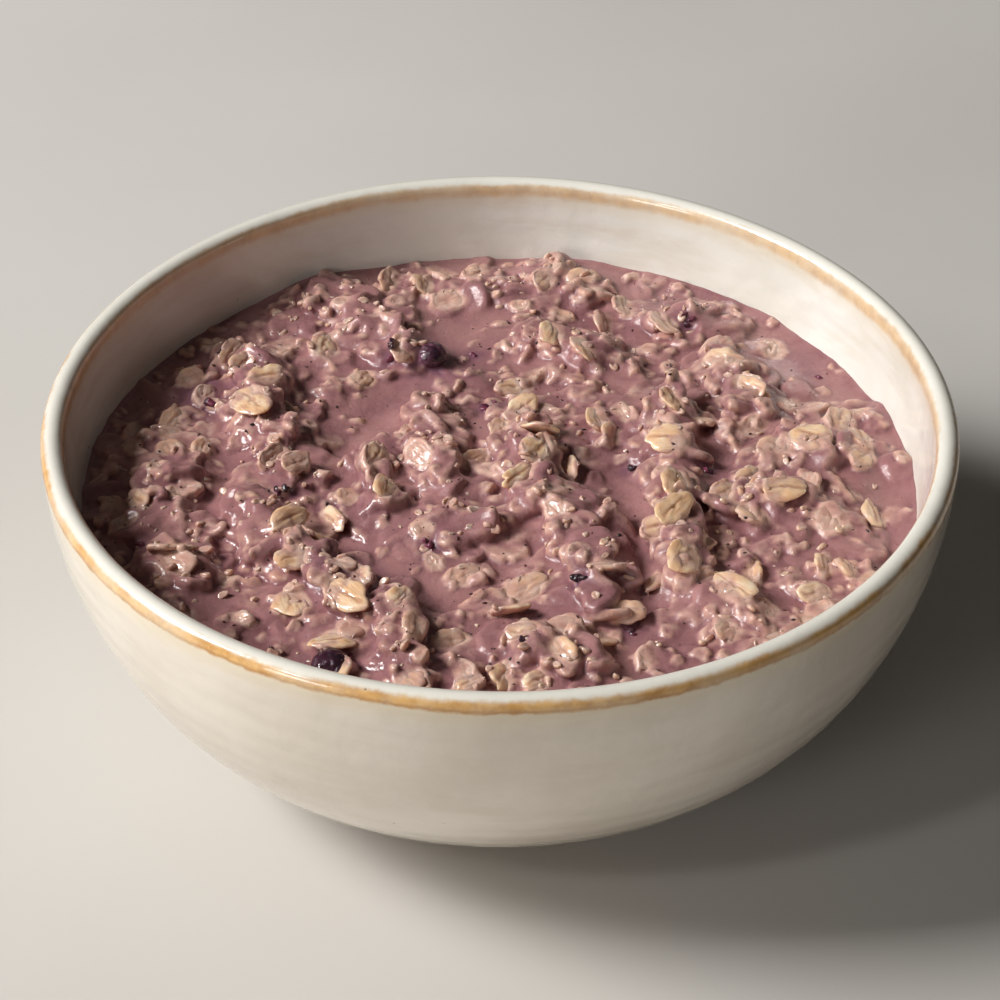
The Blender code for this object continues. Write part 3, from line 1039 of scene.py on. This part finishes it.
class Paint:
    """A node material with one Principled shader, and short calls for the nodes that feed it."""

    def __init__(self, name, **settings):
        self.material = bpy.data.materials.new(name)
        self.material.use_nodes = True
        self.tree = self.material.node_tree
        self.shader = self.tree.nodes["Principled BSDF"]
        for socket, value in settings.items():
            self.shader.inputs[socket.replace("_", " ")].default_value = value
        self.place = self.tree.nodes.new("ShaderNodeTexCoord").outputs["Object"]

    def node(self, kind, inputs=(), **settings):
        """A new node, its settings, and its inputs by name or number: a socket is linked, a value is set."""
        node = self.tree.nodes.new(kind)
        for name, value in settings.items():
            setattr(node, name, value)
        for key, value in dict(inputs).items():
            self.feed(node.inputs[key], value)
        return node

    def feed(self, socket, value):
        """Link an output to a socket, or set the socket's value."""
        if isinstance(value, bpy.types.NodeSocket):
            self.tree.links.new(value, socket)
        else:
            socket.default_value = value

    def attribute(self, name, output="Fac"):
        """What a mesh stores under a name."""
        return self.node("ShaderNodeAttribute", attribute_name=name).outputs[output]

    def stretched(self, vector, scale):
        """A place scaled along each axis."""
        return self.node("ShaderNodeMapping", {"Vector": vector, "Scale": scale}).outputs["Vector"]

    def noise(self, size, detail=3.0, roughness=0.5, distortion=0.0, vector=None):
        """Noise from 0 to 1, with features about a size in metres apart."""
        inputs = {
            "Vector": vector or self.place, "Scale": 1.0 / size, "Detail": detail,
            "Roughness": roughness, "Distortion": distortion,
        }
        return self.node("ShaderNodeTexNoise", inputs).outputs["Fac"]

    def cells(self, size):
        """Distance from 0 up to the nearest of scattered points, a size in metres apart."""
        inputs = {"Vector": self.place, "Scale": 1.0 / size}
        return self.node("ShaderNodeTexVoronoi", inputs).outputs["Distance"]

    def span(self, value, low, high, to_low=0.0, to_high=1.0):
        """A value brought smoothly from one span to another."""
        inputs = {"Value": value, "From Min": low, "From Max": high, "To Min": to_low, "To Max": to_high}
        return self.node("ShaderNodeMapRange", inputs, interpolation_type="SMOOTHSTEP").outputs["Result"]

    def band(self, value, rise, fall):
        """1 between a rise (low, high) and a fall (low, high) of a value, 0 beyond them."""
        return self.times(self.span(value, *rise), self.span(value, *fall, 1.0, 0.0))

    def math(self, operation, first, second=0.0):
        """One operation on numbers."""
        return self.node("ShaderNodeMath", {0: first, 1: second}, operation=operation).outputs[0]

    def times(self, first, second):
        """The product of two numbers."""
        return self.math("MULTIPLY", first, second)

    def plus(self, first, second):
        """The sum of two numbers."""
        return self.math("ADD", first, second)

    def minus(self, first, second):
        """The difference of two numbers."""
        return self.math("SUBTRACT", first, second)

    def mix(self, share, first, second):
        """A blend of two colours."""
        node = self.node("ShaderNodeMix", data_type="RGBA")
        self.feed(node.inputs[0], share)
        self.feed(node.inputs[6], first)
        self.feed(node.inputs[7], second)
        return node.outputs[2]

    def bump(self, height, distance, normal=None):
        """Fine relief, from 0 to a distance in metres."""
        inputs = {"Height": height, "Strength": 1.0, "Distance": distance}
        if normal:
            inputs["Normal"] = normal
        return self.node("ShaderNodeBump", inputs).outputs["Normal"]

    def give(self, **sockets):
        """Feed the shader and return the material."""
        for socket, value in sockets.items():
            self.feed(self.shader.inputs[socket.replace("_", " ")], value)
        return self.material


def tint(red, green, blue):
    """A colour given as it looks on screen, from 0 to 255, as the linear values that shaders use."""
    parts = [channel / 255.0 for channel in (red, green, blue)]
    return (*[c / 12.92 if c <= 0.04045 else ((c + 0.055) / 1.055) ** 2.4 for c in parts], 1.0)


MILK = tint(146, 101, 104)
# MILK_DEEP is darker milk, used for mottling and for painted shade in the hollows
MILK_DEEP = tint(112, 68, 74)
MILK_PALE = tint(168, 122, 120)
STAIN = tint(96, 58, 88)
OAT_PALE = tint(249, 222, 192)
OAT_TAN = tint(233, 188, 147)
OAT_BROWN = tint(166, 108, 72)
OAT_COATED = tint(212, 168, 150)
# Pale pink cream: oat under thin milk, and partly a painted highlight
OAT_MILKY_HIGHLIGHT = tint(242, 210, 190)
SPECK = tint(58, 30, 34)
SPECK_BLACK = tint(34, 20, 26)
SPECK_BROWN = tint(84, 40, 38)
SPECK_DULL = tint(60, 34, 36)
BERRY_BLACK = tint(30, 17, 27)
BERRY_RED = tint(64, 31, 46)
BERRY_BLOOM = tint(86, 64, 84)
BERRY_MILK = tint(120, 78, 96)
SHARD_BLACK = tint(36, 20, 30)
SHARD_RED = tint(112, 48, 70)
SHARD_MILKY = tint(134, 90, 100)
# The outside and inside glaze colours differ as painted light: inside lighter and cooler against the pink
# bounce, outside darker against the lamps
GLAZE_OUTSIDE = tint(221, 211, 197)
GLAZE_OUTSIDE_DEEP = tint(210, 198, 182)
GLAZE_INSIDE = tint(232, 230, 223)
GLAZE_INSIDE_DEEP = tint(222, 219, 208)
GLAZE_STREAK = tint(200, 189, 167)
GLAZE_LIP = tint(232, 229, 218)
GLAZE_HALO = tint(218, 198, 160)
TOAST = tint(214, 168, 104)
TOAST_DEEP = tint(186, 136, 76)
TOAST_EDGE = tint(152, 102, 52)
TOAST_BURNT = tint(124, 78, 38)
IRON = tint(92, 66, 44)
CLAY = tint(186, 158, 124)
CLAY_DEEP = tint(150, 120, 90)
FLOOR_PALE = tint(206, 203, 198)
FLOOR_DEEP = tint(200, 196, 190)


def milky_oat_with_highlight(paint):
    """The colour of oat under a thin coat of berry milk, with pale pink-cream patches that are partly
    painted highlight.
    """
    tan = paint.span(paint.attribute("oat_tone"), 0.5, 1.0, 0.0, 0.4)
    # Pale patches at random: partly oat under thin milk, partly painted highlight standing in for wet shine
    milky_highlight = paint.span(paint.noise(0.0022, 3.0), 0.35, 0.7, 0.0, 0.8)
    return paint.mix(milky_highlight, paint.mix(tan, OAT_COATED, OAT_TAN), OAT_MILKY_HIGHLIGHT)


def porridge_paint():
    """Berry-coloured milk, thin and creamy where a flake pushes through it, with painted shade in its
    hollows and fine dark specks.
    """
    paint = Paint(
        "porridge_looks", Roughness=0.3, IOR=1.4, Coat_Weight=0.15, Coat_Roughness=0.12,
        Subsurface_Weight=0.30, Subsurface_Radius=(1.0, 0.55, 0.45), Subsurface_Scale=0.0012,
    )
    ridge = paint.attribute("ridge")
    near = paint.plus(paint.attribute("near_oat"), paint.span(paint.noise(0.0016), 0.3, 0.7, -0.12, 0.12))
    oat = paint.span(paint.minus(near, paint.times(ridge, 0.12)), 0.0, 1.0, 1.0, 0.0)
    milk = paint.mix(paint.span(paint.noise(0.011, 3.0), 0.3, 0.7), MILK, MILK_PALE)
    curds = paint.noise(0.0016, 4.0, 0.6, 0.8)
    milk = paint.mix(paint.span(curds, 0.5, 0.72, 0.0, 0.4), milk, MILK_PALE)
    milk = paint.mix(paint.span(curds, 0.25, 0.45, 0.3, 0.0), milk, MILK_DEEP)
    # Painted shade: the milk is darkened in the hollows between lumps, where the surface bends inward
    milk = paint.mix(paint.span(ridge, -1.2, 0.0, 0.4, 0.0), milk, MILK_DEEP)
    stain = paint.times(paint.attribute("stain"), paint.span(paint.noise(0.003), 0.25, 0.65))
    milk = paint.mix(paint.times(stain, 0.7), milk, STAIN)
    colour = paint.mix(paint.times(oat, 0.75), milk, milky_oat_with_highlight(paint))
    specks = paint.span(paint.cells(0.0013), 0.03, 0.11, 1.0, 0.0)
    rare = paint.span(paint.noise(0.004, 1.0), 0.5, 0.62)
    colour = paint.mix(paint.times(specks, rare), colour, SPECK)
    fine = paint.noise(0.0007, 3.0, 0.6)
    coarse = paint.noise(0.0022, 3.0, 0.55)
    normal = paint.bump(fine, 0.00006, paint.bump(coarse, 0.00022))
    shine = paint.span(paint.noise(0.003, 2.0), 0.3, 0.7, 0.26, 0.42)
    shine = paint.minus(shine, paint.times(paint.attribute("wet"), 0.2))
    return paint.give(Base_Color=colour, Roughness=shine, Normal=normal)


def flake_paint():
    """Rolled oat: cream with a tan crease, long fibres and bran marks, under more or less berry milk."""
    paint = Paint(
        "oat_flake_looks", IOR=1.42, Coat_Weight=0.6, Coat_Roughness=0.1,
        Subsurface_Weight=0.45, Subsurface_Radius=(1.0, 0.7, 0.45), Subsurface_Scale=0.0018,
    )
    bare = paint.attribute("bare")
    grain = paint.attribute("grain", "Vector")
    fibres = paint.noise(0.6, 3.0, 0.55, 0.3, paint.stretched(grain, (0.25, 1.0, 1.0)))
    blotch = paint.noise(3.0, 2.0, 0.5, 0.0, grain)
    base = paint.mix(paint.span(blotch, 0.3, 0.7), OAT_PALE, OAT_TAN)
    base = paint.mix(paint.span(paint.attribute("oat_tone"), 0.3, 1.0, 0.0, 0.6), base, OAT_TAN)
    base = paint.mix(paint.span(fibres, 0.50, 0.75, 0.0, 0.35), base, OAT_BROWN)
    base = paint.mix(paint.times(paint.attribute("crease"), 0.8), base, OAT_BROWN)
    milk = paint.mix(paint.span(paint.noise(0.004), 0.3, 0.7), MILK, MILK_PALE)
    milk = paint.mix(paint.times(paint.attribute("stain"), 0.6), milk, STAIN)
    # The film takes in the pale patches that are partly painted highlight
    film = paint.mix(0.72, milk, milky_oat_with_highlight(paint))
    colour = paint.mix(paint.span(bare, 0.2, 1.0), film, base)
    normal = paint.bump(fibres, 0.00013, paint.bump(paint.noise(0.0009, 3.0), 0.00009))
    shine = paint.span(bare, 0.1, 0.8, 0.26, 0.36)
    shine = paint.minus(shine, paint.times(paint.attribute("wet"), 0.18))
    return paint.give(Base_Color=colour, Roughness=shine, Normal=normal)


def berry_paint(name, coated):
    """Dark wet berry skin, blue-black with a dull bloom, smeared with berry milk as far as it is coated."""
    paint = Paint(
        name, IOR=1.45, Coat_Weight=0.3, Coat_Roughness=0.12,
        Subsurface_Weight=0.1, Subsurface_Radius=(0.8, 0.2, 0.5), Subsurface_Scale=0.001,
    )
    skin = paint.mix(paint.span(paint.noise(0.0024), 0.35, 0.65), BERRY_BLACK, BERRY_RED)
    skin = paint.mix(paint.span(paint.noise(0.0009, 4.0), 0.55, 0.75, 0.0, 0.5), skin, BERRY_BLOOM)
    smear = paint.span(paint.noise(0.0028, 4.0, 0.6, 1.0), 0.70 - 0.45 * coated, 0.90 - 0.45 * coated)
    colour = paint.mix(smear, skin, BERRY_MILK)
    normal = paint.bump(paint.noise(0.0009, 4.0), 0.00015)
    shine = paint.span(paint.noise(0.002, 3.0), 0.3, 0.7, 0.16, 0.4)
    return paint.give(Base_Color=colour, Roughness=shine, Normal=normal)


def shard_paint():
    """Torn berry skin, from near black to dark magenta."""
    paint = Paint("shard_looks", IOR=1.45, Coat_Weight=0.4, Coat_Roughness=0.15)
    colour = paint.mix(paint.span(paint.noise(0.0045, 1.0), 0.42, 0.6), SHARD_BLACK, SHARD_RED)
    colour = paint.mix(paint.span(paint.noise(0.0011, 4.0), 0.5, 0.75, 0.0, 0.5), colour, SHARD_MILKY)
    normal = paint.bump(paint.noise(0.0008, 3.0), 0.0001)
    shine = paint.span(paint.noise(0.001), 0.3, 0.7, 0.2, 0.45)
    return paint.give(Base_Color=colour, Roughness=shine, Normal=normal)


def speck_paint():
    """Bran and seed specks, from dark brown to black."""
    paint = Paint("speck_looks", Coat_Weight=0.3, Coat_Roughness=0.2)
    colour = paint.mix(paint.span(paint.noise(0.006, 0.0), 0.4, 0.6), SPECK_BLACK, SPECK_BROWN)
    colour = paint.mix(paint.span(paint.noise(0.0005), 0.4, 0.7, 0.0, 0.6), colour, SPECK_DULL)
    return paint.give(Base_Color=colour, Roughness=paint.span(paint.noise(0.0006), 0.3, 0.7, 0.25, 0.55))


def glaze_paint():
    """Cream stoneware glaze, broken to toasted brown in two bands beside a pale lip, on a bare clay foot."""
    paint = Paint("glaze_looks", IOR=1.5, Coat_Weight=0.5, Coat_Roughness=0.06)
    reach = paint.attribute("lip_distance")
    wander = paint.span(paint.noise(0.018, 2.0), 0.25, 0.75, -0.30, 0.30)
    ragged = paint.span(paint.noise(0.0022, 4.0, 0.6), 0.25, 0.75, -0.22, 0.22)
    moved = paint.plus(reach, paint.plus(wander, ragged))
    away = paint.math("ABSOLUTE", moved)

    outer = paint.band(moved, (0.9, 2.0), (3.1, 3.9))
    inner = paint.times(paint.band(moved, (-5.0, -3.4), (-2.2, -1.3)), 0.62)
    patchy = paint.span(paint.noise(0.009, 4.0, 0.6), 0.28, 0.62, 0.6, 1.0)
    toasted_share = paint.times(paint.math("MAXIMUM", outer, inner), patchy)
    toasted = paint.mix(paint.span(paint.noise(0.0028, 4.0, 0.6), 0.35, 0.7), TOAST, TOAST_DEEP)
    burnt = paint.span(paint.cells(0.014), 0.05, 0.15, 1.0, 0.0)
    toasted = paint.mix(paint.times(burnt, 0.6), toasted, TOAST_BURNT)
    edge = paint.band(moved, (2.5, 3.2), (3.2, 3.9))
    toasted = paint.mix(paint.times(edge, 0.5), toasted, TOAST_EDGE)

    cloudy = paint.span(paint.noise(0.024, 4.0, 0.55), 0.3, 0.7)
    # One glaze in two colours: the inside painted lighter and cooler to offset the pink light bounced onto
    # it from the porridge, the outside painted darker to offset the lamps that light it strongly
    outside = paint.mix(cloudy, GLAZE_OUTSIDE, GLAZE_OUTSIDE_DEEP)
    inside = paint.mix(cloudy, GLAZE_INSIDE, GLAZE_INSIDE_DEEP)
    cream = paint.mix(paint.span(reach, -2.0, 2.0), inside, outside)
    thrown = paint.noise(0.02, 5.0, 0.6, 0.3, paint.stretched(paint.place, (1.0, 1.0, 5.0)))
    cream = paint.mix(paint.span(thrown, 0.45, 0.75, 0.0, 0.35), cream, GLAZE_STREAK)
    pale = paint.span(away, 0.6, 2.2, 1.0, 0.0)
    cream = paint.mix(paint.times(pale, 0.8), cream, GLAZE_LIP)
    halo = paint.band(away, (1.2, 2.6), (3.0, 8.0))
    cream = paint.mix(paint.times(halo, 0.4), cream, GLAZE_HALO)
    colour = paint.mix(toasted_share, cream, toasted)

    iron = paint.span(paint.cells(0.0085), 0.018, 0.045, 1.0, 0.0)
    sparse = paint.span(paint.noise(0.017, 1.0), 0.5, 0.56)
    colour = paint.mix(paint.times(paint.times(iron, sparse), 0.75), colour, IRON)
    height = paint.node("ShaderNodeSeparateXYZ", {"Vector": paint.place}).outputs["Z"]
    height = paint.plus(height, paint.span(paint.noise(0.006), 0.3, 0.7, -0.0006, 0.0006))
    foot = paint.span(height, 0.0016, 0.0023, 1.0, 0.0)
    clay = paint.mix(paint.span(paint.noise(0.0012, 5.0, 0.7), 0.35, 0.7), CLAY, CLAY_DEEP)
    colour = paint.mix(foot, colour, clay)

    shine = paint.span(paint.noise(0.01, 4.0), 0.3, 0.7, 0.13, 0.24)
    shine = paint.plus(shine, paint.times(foot, 0.55))
    shine = paint.plus(shine, paint.times(toasted_share, 0.08))
    normal = paint.bump(paint.noise(0.0035, 4.0, 0.5), 0.00010, paint.bump(paint.noise(0.02, 2.0), 0.0004))
    return paint.give(Base_Color=colour, Roughness=shine, Normal=normal)


def floor_paint():
    """Pale matt studio floor."""
    paint = Paint("floor_looks", Roughness=0.9, Specular_IOR_Level=0.05)
    cloudy = paint.span(paint.noise(0.2, 4.0), 0.3, 0.7)
    return paint.give(Base_Color=paint.mix(cloudy, FLOOR_PALE, FLOOR_DEEP))


# ---------------------------------------------------------------- stage

# Lights: name, place, size, power and colour
LIGHTS = (
    ("key", (-1.30, -0.04, 1.16), (0.60, 0.60), 36.8, (1.0, 0.99, 0.975)),
    ("window", (-1.10, -1.15, 0.36), (0.42, 0.60), 7.8, (1.0, 0.99, 0.97)),
    ("glint", (-0.95, -0.75, 1.05), (0.12, 0.20), 2.4, (1.0, 1.0, 1.0)),
)
LIGHT_AIM = Vector((0.0, 0.0, 0.045))
WORLD_COLOUR = (1.0, 0.95, 0.89, 1.0)
WORLD_STRENGTH = 0.05
CAMERA_PLACE = (0.0, -0.4036, 0.3433)
CAMERA_TURN = math.radians(53.1)  # up from looking straight down
CAMERA_LENS = 100.8
SENSOR_WIDTH = 36.0
FLOOR_HALF_WIDTH = 3.0
FLOOR_HEIGHT = -0.0004


def add_light(name, place, size, power, colour):
    """An area light at a place, turned to the bowl."""
    light = bpy.data.lights.new(name, "AREA")
    light.shape = "RECTANGLE"
    light.size, light.size_y = size
    light.energy = power
    light.color = colour
    item = bpy.data.objects.new(name, light)
    item.location = place
    item.rotation_euler = (LIGHT_AIM - Vector(place)).to_track_quat("-Z", "Y").to_euler()
    bpy.context.scene.collection.objects.link(item)


def set_stage():
    """Floor, lights and the camera, which looks down on the bowl from its front."""
    floor_mesh = bpy.data.meshes.new("floor")
    form = bmesh.new()
    bmesh.ops.create_grid(form, x_segments=8, y_segments=8, size=FLOOR_HALF_WIDTH)
    form.to_mesh(floor_mesh)
    form.free()
    floor = bpy.data.objects.new("floor", floor_mesh)
    bpy.context.scene.collection.objects.link(floor)
    floor.location.z = FLOOR_HEIGHT
    floor_mesh.materials.append(floor_paint())

    for light in LIGHTS:
        add_light(*light)
    world = bpy.data.worlds.new("studio")
    world.use_nodes = True
    world.node_tree.nodes["Background"].inputs["Color"].default_value = WORLD_COLOUR
    world.node_tree.nodes["Background"].inputs["Strength"].default_value = WORLD_STRENGTH
    bpy.context.scene.world = world

    camera_data = bpy.data.cameras.new("camera")
    camera_data.sensor_width = SENSOR_WIDTH
    camera_data.lens = CAMERA_LENS
    camera = bpy.data.objects.new("camera", camera_data)
    camera.location = CAMERA_PLACE
    camera.rotation_euler = (CAMERA_TURN, 0.0, 0.0)
    bpy.context.scene.collection.objects.link(camera)
    bpy.context.scene.camera = camera
    bpy.context.scene.view_settings.view_transform = "Standard"


def dress(item, material):
    """Give a piece one material."""
    item.data.materials.clear()
    item.data.materials.append(material)


set_stage()
dress(make_bowl(), glaze_paint())
porridge_volume = fill_volume()
clear_flakes = set_flakes(porridge_volume)
dress(make_porridge(porridge_volume), porridge_paint())
oat_looks = flake_paint()
dress(make_flakes(porridge_volume, clear_flakes), oat_looks)
dress(make_crumbs(porridge_volume), oat_looks)
dress(make_skin_bits(porridge_volume), shard_paint())
dress(make_specks(porridge_volume), speck_paint())
for number, (berry_node, coat) in enumerate(BERRIES.items()):
    dress(make_berry(berry_node, 70 + number), berry_paint(berry_node + "_looks", coat))
